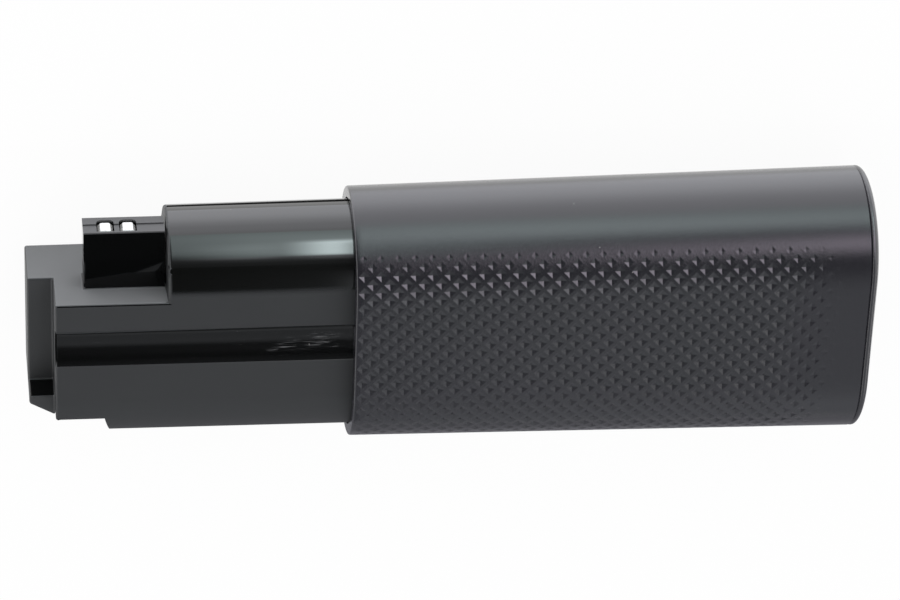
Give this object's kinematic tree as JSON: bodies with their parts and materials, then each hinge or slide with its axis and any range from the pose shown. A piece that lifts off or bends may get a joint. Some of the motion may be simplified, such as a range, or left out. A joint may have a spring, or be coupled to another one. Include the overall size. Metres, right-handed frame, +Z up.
{
  "type": "handle battery pack",
  "caption": "Rechargeable handle battery for a cordless garden shear: keyed glossy spigot with two contacts, and a diamond-grip sleeve over cylindrical cells.",
  "frame": {"origin": "on the surface that the pack lies on, under the middle of its length and width", "axes": "+X along the pack from the spigot's tip to the end cap, +Y towards the terminal post, +Z up through the broad face with the guide groove"},
  "size_m": [0.1654, 0.055, 0.0324],
  "materials": {
    "housing": "high gloss black moulding",
    "carrier": "semi-gloss black moulding",
    "contact": "bright plated contact",
    "grip": "satin black, fine grain",
    "cap": "satin black, fine grain",
    "cell_steel": "nickel-plated steel",
    "cell_wrap": "shrink film",
    "holder": "moulded",
    "nickel": "nickel strip",
    "paper": "insulating paper",
    "foam": "closed-cell foam",
    "board": "glass-fibre board with solder mask",
    "chip": "moulded package",
    "lead": "insulated wire"
  },
  "bodies": {
    "root": {"cell_1_body": "cell_steel", "cell_1_cap": "cell_steel", "cell_1_wrap": "cell_wrap", "cell_2_body": "cell_steel", "cell_2_cap": "cell_steel", "cell_2_wrap": "cell_wrap", "cell_3_body": "cell_steel", "cell_3_cap": "cell_steel", "cell_3_wrap": "cell_wrap", "cell_4_body": "cell_steel", "cell_4_cap": "cell_steel", "cell_4_wrap": "cell_wrap", "circuit_board": "board", "contact_carrier": "carrier", "controller_chip": "chip", "end_cap": "cap", "foam_pad_1": "foam", "foam_pad_2": "foam", "foam_pad_3": "foam", "foam_pad_4": "foam", "front_holder": "holder", "front_tab_minus": "nickel", "front_tab_plus": "nickel", "fuse": "chip", "grip_sleeve": "grip", "inner_housing": "housing", "lead_middle_1": "lead", "lead_middle_2": "lead", "lead_rear": "lead", "lead_sensor": "lead", "middle_link_1": "nickel", "middle_link_2": "nickel", "middle_spacer": "holder", "power_switch_1": "chip", "power_switch_2": "chip", "rear_holder": "holder", "rear_link": "nickel", "rear_paper": "paper", "shunt": "chip", "temperature_sensor": "chip", "terminal_minus": "contact", "terminal_plus": "contact"}
  },
  "joints": []
}
